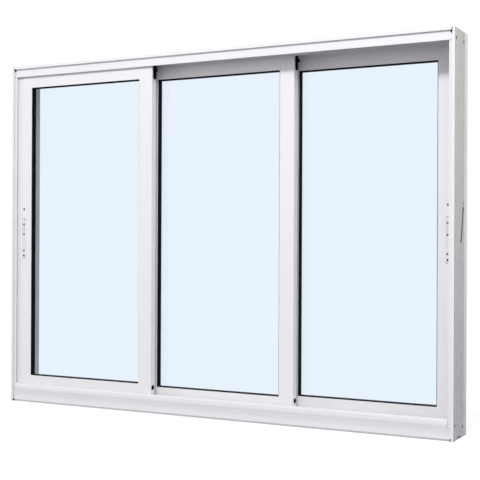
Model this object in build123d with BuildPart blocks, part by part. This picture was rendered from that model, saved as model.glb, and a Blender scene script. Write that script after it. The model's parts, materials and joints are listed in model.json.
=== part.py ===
from build123d import *
import os

# Three-track sliding window: an extruded aluminium frame with three glazed sashes,
# each on a track of its own. +Z is up, the room side faces -Y, and the origin is
# on the underside of the sill, at the middle of its width and depth.

# Outer frame
frame_width = 1625.0
frame_height = 1200.0
frame_depth = 136.0
frame_wall = 1.6
lip_rise = 5.0
jamb_lip_width = 7.5
head_lip_height = 8.3
jamb_face_width = 18.5
head_face_height = 36.5
lip_end_gap = 2.5
flange_end_gap = 1.2
seat_gap = 0.3

# Lanes in which the sashes run, counted from the room side
sash_names = ["left", "middle", "right"]
lane_start = 12.0
lane_pitch = 42.0
front_lane_rise = 13.0

# Sashes
sash_depth = 27.0
sash_wall = 1.6
sash_edge_radius = 1.0
sash_side_gap = 6.4
latch_stile_width = 70.0
meeting_stile_width = 50.0
meeting_shift = 2.5
top_rail_height = 54.5
top_rail_sight = 40.0
glazing_channel = 12.0
leg_overlap = 10.2
interlock_rise = 4.5
interlock_width = 9.0
interlock_end_gap = 12.0

# Glass and its gasket
glass_thickness = 4.0
glass_bite = 7.0
gasket_bite = 9.0
gasket_sight = 3.0
gasket_blunt = 0.6

# Sill
floor_height = 26.0
sill_rear_height = 40.0
sill_nose_height = 64.0
sill_nose_middle = 50.7
sill_nose_bulge = 1.25
sill_cove_height = 39.7
sill_foot_setback = 3.1
sill_chamfer_height = 6.5
sill_chamfer_depth = 3.2
track_width = 2.4
track_height = 17.2
weep_count = 3
weep_spacing = 520.0
weep_length = 32.0
weep_height = 5.0
weep_rise = 1.5

# Rollers under each sash
roller_diameter = 24.0
roller_width = 8.0
roller_groove_depth = 1.6
roller_axle_diameter = 5.0
roller_inset = 70.0
roller_head_gap = 2.5
roller_side_gap = 0.5
carriage_length = 44.0
carriage_cheek = 2.0
axle_gap = 0.3

# Notch at the foot of a stile, astride the track
track_notch_width = 13.0
track_notch_gap = 6.0

# Latches in the outer stiles
latch_height = 591.5
latch_length = 115.0
latch_width = 13.0
latch_edge_distance = 32.0
latch_depth = 9.0
latch_fit_gap = 0.2
latch_plate_length = 140.0
latch_plate_width = 16.0
latch_plate_thickness = 1.0
latch_plate_drop = 8.0
latch_screw_rise = 14.5
latch_screw_spacing = 166.0
latch_screw_hole = 4.0
latch_pocket_width = 9.5
latch_pocket_depth = 5.0
latch_thumb_rise = 25.0
latch_thumb_length = 30.0
latch_thumb_width = 8.5
latch_thumb_gap = 6.0
latch_thumb_lift = 1.5
latch_keyhole_drop = 50.5
latch_keyhole_height = 7.0

# Strike slot through a jamb, leaning with its top towards the outside
strike_height = 625.0
strike_length = 103.0
strike_width = 4.0
strike_lean = 12.0
strike_from_front = 82.5
strike_hole_diameter = 8.0
strike_pilot_diameter = 4.0
strike_pilot_rise = 15.0

# Plugs in the access holes to the roller screws
plug_diameter = 14.0
plug_drop = 11.0
plug_head = 1.2
plug_fit_gap = 0.2

# Buffers at the head of the meeting stiles
buffer_width = 19.0
buffer_thickness = 2.0
buffer_shift = 2.5
buffer_drop = 2.5
buffer_top_gap = 2.0
buffer_nub_diameter = 13.0
buffer_nub_rise = 8.0
buffer_nub_drop = 11.5

# Holes in a jamb for screws into the wall, near both ends of its first and last lanes
fixing_hole_diameter = 6.4
fixing_front_inset = 16.5
fixing_rear_inset = 42.0
fixing_head_gap = 6.5
fixing_floor_gap = 5.0

# Shallow grooves along the outside of a jamb
end_groove_width = 3.0
end_groove_depth = 0.6
end_groove_front_inset = 22.0
end_groove_rear_inset = 32.0

# Drain notch in the foot of a jamb's web
foot_notch_width = 30.0
foot_notch_height = 5.0
foot_notch_from_front = 54.0

# Places worked out from the sizes above
front = -frame_depth / 2
rear = frame_depth / 2
side = frame_width / 2
face = front + lip_rise
face_inner = face + frame_wall
web_inner = side - frame_wall
flange_edge = side - jamb_face_width
head_edge = frame_height - head_face_height
sash_count = len(sash_names)
last_lane = sash_count - 1
lane_gap = lane_pitch - sash_depth
fin_places = [front + lane_start + lane_pitch * step - lane_gap / 2 for step in range(1, sash_count)]
wall_places = [face + frame_wall / 2, *fin_places, rear - frame_wall / 2]
daylight_top = head_edge - top_rail_sight
sash_top = daylight_top + top_rail_height
sash_inner_depth = sash_depth - 2 * sash_wall
meeting_step = meeting_stile_width - meeting_shift
glazed_span = 2 * (web_inner - sash_side_gap - latch_stile_width)
daylight_width = (glazed_span - last_lane * meeting_step) / sash_count
sash_pitch = daylight_width + meeting_step


def lane_front(lane):
    """Y of the room-side face of the sash in a lane."""
    return front + lane_start + lane_pitch * lane


def lane_middle(lane):
    """Y of the middle of a lane."""
    return lane_front(lane) + sash_depth / 2


def lane_floor(lane):
    """Z of a lane's floor: the one on the room side is raised."""
    return floor_height + (front_lane_rise if lane == 0 else 0.0)


def track_top(lane):
    """Z of the crest of the track that a sash runs on."""
    return lane_floor(lane) + track_height


def axle_height(lane):
    """Z of the axles of the rollers that stand on a lane's track."""
    return track_top(lane) + seat_gap - roller_groove_depth + roller_diameter / 2


def carriage_top(lane):
    """Z of the underside of the bottom rail's web, which rests on the roller carriages."""
    return axle_height(lane) + roller_diameter / 2 + roller_head_gap


def daylight_bottom(lane):
    """Z of the lower edge of a sash's visible glass opening."""
    return carriage_top(lane) + sash_wall + glazing_channel


def sash_foot(lane):
    """Z of the underside of a sash, whose legs reach down beside the track."""
    return track_top(lane) - leg_overlap


def save(piece, name):
    """Labels a finished piece and writes it to its own file."""
    piece.part.label = name
    export_step(piece.part, f"parts/{name}.step")


os.makedirs("parts", exist_ok=True)


def make_jamb(name, way):
    """An upright of the frame: a web with an outer lip, a face flange and lane fins.
    way is -1 for the left jamb and 1 for the right one."""
    flange_low = sill_rear_height
    flange_high = head_edge - flange_end_gap
    fin_length = jamb_face_width - frame_wall / 2
    groove_places = [front + end_groove_front_inset, rear - end_groove_rear_inset]
    fixing_high = head_edge + fixing_head_gap
    fixing_places = [
        (front + fixing_front_inset, lane_floor(0) + fixing_floor_gap),
        (front + fixing_front_inset, fixing_high),
        (rear - fixing_rear_inset, lane_floor(last_lane) + fixing_floor_gap),
        (rear - fixing_rear_inset, fixing_high),
    ]
    with BuildPart() as jamb:
        with BuildSketch(Plane.XY):
            with Locations((way * (side - frame_wall / 2), 0)):
                Rectangle(frame_wall, frame_depth)
            with Locations((way * (side - jamb_lip_width / 2), front + frame_wall / 2)):
                Rectangle(jamb_lip_width, frame_wall)
            with Locations(*[(way * side, groove_y) for groove_y in groove_places]):
                Rectangle(2 * end_groove_depth, end_groove_width, mode=Mode.SUBTRACT)
        extrude(amount=frame_height)
        with BuildSketch(Plane.XY.offset(flange_low)):
            with Locations(*[(way * (flange_edge + fin_length / 2), wall_y) for wall_y in wall_places]):
                Rectangle(fin_length, frame_wall)
        extrude(amount=flange_high - flange_low)
        with BuildSketch(Plane.YZ.offset(way * side)):
            with Locations(Location((front + strike_from_front, strike_height), 90.0 - strike_lean)):
                SlotOverall(strike_length, strike_width)
                with Locations((strike_length / 2 - strike_width / 2, 0)):
                    Circle(strike_hole_diameter / 2)
                with Locations((strike_length / 2 + strike_pilot_rise, 0)):
                    Circle(strike_pilot_diameter / 2)
            with Locations(*fixing_places):
                Circle(fixing_hole_diameter / 2)
            with Locations((front + foot_notch_from_front, 0)):
                Rectangle(foot_notch_width, 2 * foot_notch_height)
        extrude(amount=-way * frame_wall, mode=Mode.SUBTRACT)
    save(jamb, name)


make_jamb("left_jamb", -1)
make_jamb("right_jamb", 1)

# Head: a top web with a lip over the face flange, and a fin between lanes
head_lip_end = side - jamb_lip_width - lip_end_gap
with BuildPart() as head:
    with BuildSketch(Plane.YZ.offset(-web_inner)):
        with Locations((0, frame_height - frame_wall / 2)):
            Rectangle(frame_depth, frame_wall)
        with Locations((front + frame_wall / 2, frame_height - head_lip_height / 2)):
            Rectangle(frame_wall, head_lip_height)
        with Locations(*[(wall_y, frame_height - head_face_height / 2) for wall_y in wall_places]):
            Rectangle(frame_wall, head_face_height)
    extrude(amount=2 * web_inner)
    for way in (-1, 1):
        with Locations((way * (head_lip_end + side) / 2, front + lip_rise / 2, frame_height)):
            Box(side - head_lip_end, lip_rise, 2 * head_lip_height, mode=Mode.SUBTRACT)
save(head, "head")

# Sill: closed chambers under stepped lane floors, a track in each lane, and a front
# wall whose face runs from a rounded nose through a shallow cove to its foot
nose_front = front + seat_gap
nose_high = 2 * sill_nose_middle - sill_cove_height
nose_edge = sill_nose_height - nose_high
sill_lip_end = side - jamb_lip_width - seat_gap
sill_nose_end = flange_edge - seat_gap
chamber_lows = [face_inner, *[fin_y + frame_wall for fin_y in fin_places]]
chamber_highs = [*fin_places, rear - frame_wall]
with BuildPart() as sill:
    with BuildSketch(Plane.YZ.offset(-web_inner)):
        with BuildLine():
            back = Polyline(
                (nose_front + sill_foot_setback + sill_chamfer_depth, 0),
                (rear, 0),
                (rear, sill_rear_height),
                (rear - frame_wall, sill_rear_height),
                (rear - frame_wall, lane_floor(1)),
                (fin_places[0], lane_floor(1)),
                (fin_places[0], lane_floor(0)),
                (face_inner, lane_floor(0)),
                (face_inner, sill_nose_height),
            )
            nose = ThreePointArc(
                (nose_front + sill_nose_bulge, nose_high),
                (nose_front, sill_nose_middle),
                (nose_front + sill_nose_bulge, sill_cove_height),
            )
            Polyline(back @ 1, (nose_front + sill_nose_bulge + nose_edge, sill_nose_height), nose @ 0)
            cove = TangentArc(
                nose @ 1,
                (nose_front + sill_foot_setback, sill_chamfer_height),
                tangent=nose % 1,
            )
            Line(cove @ 1, back @ 0)
        make_face()
        for lane in range(sash_count):
            low = chamber_lows[lane]
            high = chamber_highs[lane]
            with Locations(((low + high) / 2, lane_floor(lane) / 2)):
                Rectangle(high - low, lane_floor(lane) - 2 * frame_wall, mode=Mode.SUBTRACT)
            with Locations((lane_middle(lane), track_top(lane) - track_height / 2)):
                Rectangle(track_width, track_height)
    extrude(amount=2 * web_inner)
    for way in (-1, 1):
        with Locations((way * (sill_lip_end + side) / 2, (front + face) / 2, 0)):
            Box(side - sill_lip_end, lip_rise, 2 * sill_rear_height, mode=Mode.SUBTRACT)
        with Locations((way * (sill_nose_end + side) / 2, (front + face_inner) / 2, sill_nose_height)):
            Box(
                side - sill_nose_end,
                face_inner - front,
                2 * (sill_nose_height - sill_rear_height + seat_gap),
                mode=Mode.SUBTRACT,
            )
    with BuildSketch(Plane.XZ.offset(-rear)):
        with Locations((0, floor_height + weep_rise + weep_height / 2)):
            with GridLocations(weep_spacing, 0, weep_count, 1):
                SlotOverall(weep_length, weep_height)
    extrude(amount=frame_wall, mode=Mode.SUBTRACT)
save(sill, "sill")


def latch_seat(x, lane):
    """A latch's slot and its two screw holes, drawn on the room-side wall of a stile."""
    room_face = Plane(origin=(x, lane_front(lane), latch_height), x_dir=(1, 0, 0), z_dir=(0, -1, 0))
    with BuildSketch(room_face) as seat:
        SlotOverall(latch_length, latch_width, rotation=90)
        with Locations((0, latch_screw_rise)):
            with GridLocations(0, latch_screw_spacing, 1, 2):
                Circle(latch_screw_hole / 2)
    return seat.sketch


def plug_face(x, lane):
    """The plane on a meeting stile's right side in which its access hole is drawn."""
    centre = (x, lane_middle(lane), daylight_bottom(lane) - plug_drop)
    return Plane(origin=centre, x_dir=(0, 1, 0), z_dir=(1, 0, 0))


def make_stile(name, lane, glass_edge, way, width):
    """An upright of a sash: a hollow box with a glazing channel, notched over the track.
    way points from the glass to the stile's outer edge: -1 is a left stile. A wide stile
    carries a latch, and a narrow one has a fin that faces the sash it meets."""
    foot = sash_foot(lane)
    middle = lane_middle(lane)
    chamber = width - glazing_channel - 2 * sash_wall
    outer_edge = glass_edge + way * width
    with BuildPart() as stile:
        with BuildSketch(Plane.XY.offset(foot)) as outline:
            with Locations((glass_edge + way * width / 2, middle)):
                Rectangle(width, sash_depth)
            fillet(outline.vertices().group_by(Axis.X)[-1 if way > 0 else 0], sash_edge_radius)
            with Locations((outer_edge - way * (sash_wall + chamber / 2), middle)):
                Rectangle(chamber, sash_inner_depth, mode=Mode.SUBTRACT)
            with Locations((glass_edge + way * glazing_channel / 2, middle)):
                Rectangle(glazing_channel, sash_inner_depth, mode=Mode.SUBTRACT)
        extrude(amount=sash_top - foot)
        with Locations((glass_edge + way * width / 2, middle, foot)):
            notch_height = leg_overlap + track_notch_gap
            Box(2 * width, track_notch_width, 2 * notch_height, mode=Mode.SUBTRACT)
        if width == latch_stile_width:
            seat = latch_seat(glass_edge + way * latch_edge_distance, lane)
            extrude(seat, amount=-2 * sash_wall, mode=Mode.SUBTRACT)
        else:
            fin_low = sill_nose_height + interlock_end_gap
            fin_high = head_edge - interlock_end_gap
            fin_x = glass_edge + way * (glazing_channel + sash_wall / 2)
            fin_y = middle + way * (sash_depth + interlock_rise) / 2
            with BuildSketch(Plane.XY.offset(fin_low)):
                with Locations((fin_x, fin_y)):
                    Rectangle(sash_wall, interlock_rise)
                with Locations((fin_x, fin_y + way * (interlock_rise - sash_wall) / 2)):
                    Rectangle(interlock_width, sash_wall)
            extrude(amount=fin_high - fin_low)
            if way > 0:
                with BuildSketch(plug_face(outer_edge, lane)):
                    Circle(plug_diameter / 2)
                extrude(amount=-2 * sash_wall, mode=Mode.SUBTRACT)
    save(stile, name)


def make_top_rail(name, lane, centre):
    """The rail over the glass: a box with its glazing channel open downwards."""
    middle = lane_middle(lane)
    chamber = top_rail_height - glazing_channel - 2 * sash_wall
    with BuildPart() as rail:
        with BuildSketch(Plane.YZ.offset(centre - daylight_width / 2)):
            with Locations((middle, sash_top - top_rail_height / 2)):
                Rectangle(sash_depth, top_rail_height)
            with Locations((middle, sash_top - sash_wall - chamber / 2)):
                Rectangle(sash_inner_depth, chamber, mode=Mode.SUBTRACT)
            with Locations((middle, daylight_top + glazing_channel / 2)):
                Rectangle(sash_inner_depth, glazing_channel, mode=Mode.SUBTRACT)
        extrude(amount=daylight_width)
    save(rail, name)


def make_bottom_rail(name, lane, centre):
    """The rail under the glass: a glazing channel over two legs that stand astride the track."""
    middle = lane_middle(lane)
    top = daylight_bottom(lane)
    foot = sash_foot(lane)
    leg = carriage_top(lane) - foot
    with BuildPart() as rail:
        with BuildSketch(Plane.YZ.offset(centre - daylight_width / 2)):
            with Locations((middle, (top + foot) / 2)):
                Rectangle(sash_depth, top - foot)
            with Locations((middle, top - glazing_channel / 2)):
                Rectangle(sash_inner_depth, glazing_channel, mode=Mode.SUBTRACT)
            with Locations((middle, foot + leg / 2)):
                Rectangle(sash_inner_depth, leg, mode=Mode.SUBTRACT)
        extrude(amount=daylight_width)
    save(rail, name)


def make_glass(name, lane, centre):
    """The pane of a sash, whose edges stand in the gasket."""
    low = daylight_bottom(lane)
    with BuildPart() as glass:
        with BuildSketch(Plane.XZ.offset(-lane_middle(lane))):
            with Locations((centre, (low + daylight_top) / 2)):
                Rectangle(daylight_width + 2 * glass_bite, daylight_top - low + 2 * glass_bite)
        extrude(amount=glass_thickness / 2, both=True)
    save(glass, name)


def make_gasket(name, lane, centre):
    """A rubber ring that fills the glazing channel, grips the pane and slopes down to it."""
    low = daylight_bottom(lane)
    height = daylight_top - low
    middle = lane_middle(lane)
    slope = gasket_sight - gasket_blunt
    with BuildPart() as gasket:
        with BuildSketch(Plane.XZ.offset(-middle)):
            with Locations((centre, low + height / 2)):
                Rectangle(daylight_width + 2 * gasket_bite, height + 2 * gasket_bite)
                Rectangle(
                    daylight_width - 2 * gasket_sight, height - 2 * gasket_sight, mode=Mode.SUBTRACT
                )
        extrude(amount=sash_inner_depth / 2, both=True)
        with Locations((centre, middle, low + height / 2)):
            Box(
                daylight_width + 2 * glass_bite,
                glass_thickness,
                height + 2 * glass_bite,
                mode=Mode.SUBTRACT,
            )
        for outer_face in gasket.faces().filter_by(Axis.Y).group_by(Axis.Y)[0::3]:
            chamfer(outer_face[0].inner_wires()[0].edges(), slope)
    save(gasket, name)


def make_wheels(name, lane, places):
    """Grooved wheels that stand on the track, each in one piece with its axle."""
    middle = lane_middle(lane)
    radius = roller_diameter / 2
    groove_radius = radius - roller_groove_depth
    groove_half = track_width / 2 + seat_gap
    axle_radius = roller_axle_diameter / 2
    axle_half = roller_width / 2 + roller_side_gap + carriage_cheek
    with BuildPart() as wheels:
        for x in places:
            hub = Plane(origin=(x, middle, axle_height(lane)), x_dir=(1, 0, 0), z_dir=(0, 0, 1))
            with BuildSketch(hub):
                with BuildLine():
                    Polyline(
                        (0, -axle_half),
                        (axle_radius, -axle_half),
                        (axle_radius, -roller_width / 2),
                        (radius, -roller_width / 2),
                        (groove_radius, -groove_half),
                        (groove_radius, groove_half),
                        (radius, roller_width / 2),
                        (axle_radius, roller_width / 2),
                        (axle_radius, axle_half),
                        (0, axle_half),
                        close=True,
                    )
                make_face()
            revolve(axis=Axis((x, middle, axle_height(lane)), (0, 1, 0)))
    save(wheels, name)


def make_carriages(name, lane, places):
    """Open boxes under the bottom rail's web, with slots in their cheeks for the axles of the wheels."""
    middle = lane_middle(lane)
    low = axle_height(lane) - roller_axle_diameter
    height = carriage_top(lane) - low
    well_width = roller_width + 2 * roller_side_gap
    full_width = well_width + 2 * carriage_cheek
    slot_width = roller_axle_diameter + 2 * axle_gap
    slot_top = axle_height(lane) + slot_width / 2
    with BuildPart() as carriages:
        for x in places:
            with Locations((x, middle, low + height / 2)):
                Box(carriage_length, full_width, height)
                Box(carriage_length - 2 * carriage_cheek, well_width, height, mode=Mode.SUBTRACT)
            with Locations((x, middle, low)):
                Box(slot_width, full_width, 2 * (slot_top - low), mode=Mode.SUBTRACT)
    save(carriages, name)


def make_latch(name, lane, x):
    """A latch in its slot: a face plate on the stile, a thumb piece in a pocket, and a keyhole under it."""
    plate_face = lane_front(lane) - latch_plate_thickness
    pocket_length = latch_thumb_length + 2 * latch_thumb_gap
    room_face = Plane(origin=(x, plate_face, latch_height), x_dir=(1, 0, 0), z_dir=(0, -1, 0))
    with BuildPart() as latch:
        with BuildSketch(room_face):
            with Locations((0, -latch_plate_drop)):
                SlotOverall(latch_plate_length, latch_plate_width, rotation=90)
        extrude(amount=-latch_plate_thickness)
        with BuildSketch(room_face):
            SlotOverall(latch_length - 2 * latch_fit_gap, latch_width - 2 * latch_fit_gap, rotation=90)
        extrude(amount=-latch_plate_thickness - latch_depth)
        with BuildSketch(room_face):
            with Locations((0, latch_thumb_rise)):
                Rectangle(latch_pocket_width, pocket_length)
            with Locations((0, -latch_keyhole_drop)):
                Rectangle(latch_pocket_width, latch_keyhole_height)
        extrude(amount=-latch_pocket_depth, mode=Mode.SUBTRACT)
        with BuildSketch(room_face):
            with Locations((0, latch_screw_rise - latch_screw_spacing / 2)):
                Circle(latch_screw_hole / 2)
        extrude(amount=-latch_plate_thickness, mode=Mode.SUBTRACT)
        with BuildSketch(room_face.offset(-latch_pocket_depth)):
            with Locations((0, latch_thumb_rise)):
                Rectangle(latch_thumb_width, latch_thumb_length)
        extrude(amount=latch_pocket_depth + latch_thumb_lift)
    save(latch, name)


def make_plug(name, lane, x):
    """A rubber plug pressed into the access hole to a roller screw, with its head left proud."""
    with BuildPart() as plug:
        with BuildSketch(plug_face(x, lane).offset(-2 * sash_wall)):
            Circle(plug_diameter / 2 - plug_fit_gap)
        extrude(amount=2 * sash_wall + plug_head)
    save(plug, name)


def make_buffer(name, lane, x):
    """A rubber pad at the head of a meeting stile's right side, with a nub that softens its stop."""
    low = daylight_top - buffer_drop
    high = sash_top - buffer_top_gap
    radius = buffer_width / 2
    straight = high - low - radius
    pad_y = lane_middle(lane) + buffer_shift
    pad_face = Plane(origin=(x, pad_y, low + radius), x_dir=(0, 1, 0), z_dir=(1, 0, 0))
    nub_face = Plane(origin=(x, pad_y, head_edge - buffer_nub_drop), x_dir=(0, 1, 0), z_dir=(1, 0, 0))
    with BuildPart() as buffer:
        with BuildSketch(pad_face):
            Circle(radius)
            with Locations((0, straight / 2)):
                Rectangle(buffer_width, straight)
        extrude(amount=buffer_thickness)
        with BuildSketch(nub_face):
            Circle(buffer_nub_diameter / 2)
        extrude(amount=buffer_thickness + buffer_nub_rise)
    save(buffer, name)


# The left sash is on the room-side lane and each next one is on the lane behind it.
# The two outermost stiles carry latches.
for lane, sash in enumerate(sash_names):
    centre = sash_pitch * (lane - last_lane / 2)
    left_edge = centre - daylight_width / 2
    right_edge = centre + daylight_width / 2
    left_width = latch_stile_width if lane == 0 else meeting_stile_width
    right_width = latch_stile_width if lane == last_lane else meeting_stile_width
    roller_places = [left_edge + roller_inset, right_edge - roller_inset]
    make_stile(f"{sash}_sash_left_stile", lane, left_edge, -1, left_width)
    make_stile(f"{sash}_sash_right_stile", lane, right_edge, 1, right_width)
    make_top_rail(f"{sash}_sash_top_rail", lane, centre)
    make_bottom_rail(f"{sash}_sash_bottom_rail", lane, centre)
    make_glass(f"{sash}_glass", lane, centre)
    make_gasket(f"{sash}_gasket", lane, centre)
    make_wheels(f"{sash}_sash_wheels", lane, roller_places)
    make_carriages(f"{sash}_sash_carriages", lane, roller_places)
    if lane == 0:
        make_latch("left_latch", lane, left_edge - latch_edge_distance)
    if lane == last_lane:
        make_latch("right_latch", lane, right_edge + latch_edge_distance)
    else:
        make_plug(f"{sash}_sash_plug", lane, right_edge + meeting_stile_width)
        make_buffer(f"{sash}_sash_buffer", lane, right_edge + meeting_stile_width)
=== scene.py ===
import json
import math

import bpy
import numpy as np
from bpy.props import FloatProperty, FloatVectorProperty, IntProperty, PointerProperty
from bpy.types import NodeSocket, Operator, Panel, PropertyGroup
from mathutils import Matrix, Vector


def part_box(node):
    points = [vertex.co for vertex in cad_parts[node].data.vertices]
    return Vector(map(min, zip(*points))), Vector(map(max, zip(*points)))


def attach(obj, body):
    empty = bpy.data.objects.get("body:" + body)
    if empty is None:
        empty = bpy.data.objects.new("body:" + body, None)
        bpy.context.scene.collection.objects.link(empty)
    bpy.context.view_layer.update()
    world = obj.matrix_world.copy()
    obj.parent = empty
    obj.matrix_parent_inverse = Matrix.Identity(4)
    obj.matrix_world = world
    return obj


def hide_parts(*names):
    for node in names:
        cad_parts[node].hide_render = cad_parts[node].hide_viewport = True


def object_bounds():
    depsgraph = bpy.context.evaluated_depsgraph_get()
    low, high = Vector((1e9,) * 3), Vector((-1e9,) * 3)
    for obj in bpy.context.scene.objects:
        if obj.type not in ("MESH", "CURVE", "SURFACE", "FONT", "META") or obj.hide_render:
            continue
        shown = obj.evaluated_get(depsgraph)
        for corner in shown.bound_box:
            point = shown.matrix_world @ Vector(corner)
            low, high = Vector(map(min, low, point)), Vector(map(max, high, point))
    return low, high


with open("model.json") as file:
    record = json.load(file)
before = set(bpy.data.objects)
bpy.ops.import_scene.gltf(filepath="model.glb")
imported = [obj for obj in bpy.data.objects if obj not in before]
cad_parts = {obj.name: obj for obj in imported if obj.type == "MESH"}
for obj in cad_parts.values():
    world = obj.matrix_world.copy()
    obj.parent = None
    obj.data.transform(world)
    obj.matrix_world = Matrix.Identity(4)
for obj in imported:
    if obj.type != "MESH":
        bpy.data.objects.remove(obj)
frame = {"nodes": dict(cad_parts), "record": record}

bl_info = {
    "name": "Sliding Window",
    "version": (1, 0, 0),
    "blender": (4, 5, 0),
    "location": "View3D > Sidebar > Window",
    "description": "Finishes, hardware and studio for a three-sash sliding window",
    "category": "Object",
}

CAD_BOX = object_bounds()
# The right jamb's outer web, the front of the frame's lips and the top of the head
FRAME_EDGE = CAD_BOX[1][0]
FRAME_FRONT = CAD_BOX[0][1]
FRAME_TOP = CAD_BOX[1][2]

SASHES = ("left", "middle", "right")
# Sashes with a plug and a buffer in the right stile
PLUGGED_SASHES = ("left", "middle")
SASH_PARTS = ("left_stile", "right_stile", "top_rail", "bottom_rail")
# Each side with the way that its jamb lies along X
SIDES = (("left", -1.0), ("right", 1.0))

# The slot for the latch's strike in each jamb: its length, its lean from upright and its middle's place
STRIKE_LENGTH = 0.103
STRIKE_LEAN = math.radians(12.0)
STRIKE_DEPTH = FRAME_FRONT + 0.0825
STRIKE_HEIGHT = 0.625


# Settings that a user would change

# What settings of one kind have in common
SOLID = {"subtype": "COLOR", "size": 4, "min": 0.0, "max": 1.0}
SHARE = {"subtype": "FACTOR", "min": 0.0, "max": 1.0}
PLACE = {"subtype": "TRANSLATION", "unit": "LENGTH", "size": 3}


class CoatSettings(PropertyGroup):
    """White powder coat on the aluminium sections."""
    colour: FloatVectorProperty(
        name="Colour", description="Colour of the powder coat", default=(0.815, 0.805, 0.835, 1.0), **SOLID)
    outer_colour: FloatVectorProperty(
        name="Outer colour", description="Colour of the thin coat on the jambs' outer webs",
        default=(0.438, 0.428, 0.425, 1.0), **SOLID)
    # Painted shade: the outer webs darken towards the floor, where less light reaches them.
    foot_shade_colour: FloatVectorProperty(
        name="Foot colour", description="Colour of that thin coat near the floor",
        default=(0.315, 0.33, 0.37, 1.0), **SOLID)
    # Painted light: a lighter strip along the rear of the outer webs, fading towards the floor.
    lit_strip_colour: FloatVectorProperty(
        name="Strip colour", description="Colour of the thicker coat along the rear of the outer webs",
        default=(0.65, 0.63, 0.7, 1.0), **SOLID)
    # Painted shade: the dark in the jambs' holes, strike slot and drain notch, and in a faint line on the
    # outer web.
    painted_shade_colour: FloatVectorProperty(
        name="Cut colour", description="Colour of drilled and punched edges",
        default=(0.05, 0.05, 0.055, 1.0), **SOLID)
    # Dust and painted shade: upward faces take this darker colour, which also damps the key lamp's light on
    # them.
    dust_and_shade_colour: FloatVectorProperty(
        name="Dust colour", description="Colour of the dust on upward faces",
        default=(0.62, 0.605, 0.585, 1.0), **SOLID)
    dust_and_shade: FloatProperty(
        name="Dust", description="Share of an upward face that dust covers", default=0.75, **SHARE)
    sill_dust_and_shade: FloatProperty(
        name="Sill dust", description="Share of the sill's upward faces that dust covers",
        default=1.0, **SHARE)
    drift: FloatProperty(
        name="Tone drift", description="How far the tone wanders over a length",
        min=0.0, max=0.5, subtype="FACTOR", default=0.03)
    peel_size: FloatProperty(
        name="Peel size", description="Width of one bump of the orange peel",
        min=0.0005, unit="LENGTH", default=0.0022)
    peel_depth: FloatProperty(
        name="Peel depth", description="Depth of the orange peel", min=0.0, unit="LENGTH", default=0.00006)
    bare_metal: FloatVectorProperty(
        name="Bare metal", description="Aluminium where rollers have worn the coat off",
        default=(0.60, 0.61, 0.62, 1.0), **SOLID)


class GlassSettings(PropertyGroup):
    """Clear float glass."""
    tint: FloatVectorProperty(
        name="Tint", description="Cast of the glass", default=(0.795, 0.886, 0.98, 1.0), **SOLID)
    lamp_tint: FloatVectorProperty(
        name="Lamp tint", description="What one face of a pane lets straight through",
        default=(0.91, 0.95, 0.98, 1.0), **SOLID)
    waviness: FloatProperty(
        name="Waviness", description="Depth of the faint roller waves in the glass",
        min=0.0, unit="LENGTH", default=0.00002)


class TrimSettings(PropertyGroup):
    """Rubber, pile, latches and running gear."""
    # This colour also goes on the corner joint pads, which are painted shade in the frame's joints.
    rubber: FloatVectorProperty(
        name="Rubber", description="Colour of gaskets, plugs, buffers and joint pads",
        default=(0.004, 0.004, 0.005, 1.0), **SOLID)
    pile: FloatVectorProperty(
        name="Pile", description="Colour of the pile strips", default=(0.035, 0.035, 0.038, 1.0), **SOLID)
    latch: FloatVectorProperty(
        name="Latch", description="Colour of the moulded latches", default=(0.76, 0.75, 0.80, 1.0), **SOLID)
    # Painted shade: the latch plastic made darker for the thumb piece, which lies in shade.
    shaded_thumb: FloatVectorProperty(
        name="Thumb piece", description="Colour of the latches' thumb pieces",
        default=(0.68, 0.665, 0.75, 1.0), **SOLID)
    # Painted shade: the dark of the latches' slot ends, keyholes and the shadow lines round their plates.
    shade_stops: FloatVectorProperty(
        name="Stops", description="Colour of the stops and seals of the latches",
        default=(0.075, 0.07, 0.09, 1.0), **SOLID)
    keeper: FloatVectorProperty(
        name="Keeper", description="Colour of the inserts in the strike slots",
        default=(0.045, 0.045, 0.048, 1.0), **SOLID)
    nylon: FloatVectorProperty(
        name="Nylon", description="Colour of the rollers", default=(0.72, 0.70, 0.63, 1.0), **SOLID)
    steel: FloatVectorProperty(
        name="Steel", description="Colour of the zinc-plated carriages",
        default=(0.58, 0.60, 0.62, 1.0), **SOLID)
    screw: FloatVectorProperty(
        name="Screw", description="Colour of the blackened screws",
        default=(0.06, 0.06, 0.065, 1.0), **SOLID)
    screw_diameter: FloatProperty(
        name="Screw head", description="Diameter of a latch screw's head",
        min=0.001, unit="LENGTH", default=0.0076)
    grip_ridges: IntProperty(
        name="Grip ridges", description="Ridges across a latch's thumb piece", min=1, default=8)
    grip_depth: FloatProperty(
        name="Grip depth", description="Depth of the ridges of a thumb piece",
        min=0.0, unit="LENGTH", default=0.0006)
    pile_height: FloatProperty(
        name="Pile height", description="How far a pile strip stands off its fin",
        min=0.0005, unit="LENGTH", default=0.0048)
    pile_width: FloatProperty(
        name="Pile width", description="Width of a pile strip", min=0.001, unit="LENGTH", default=0.0068)


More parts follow.
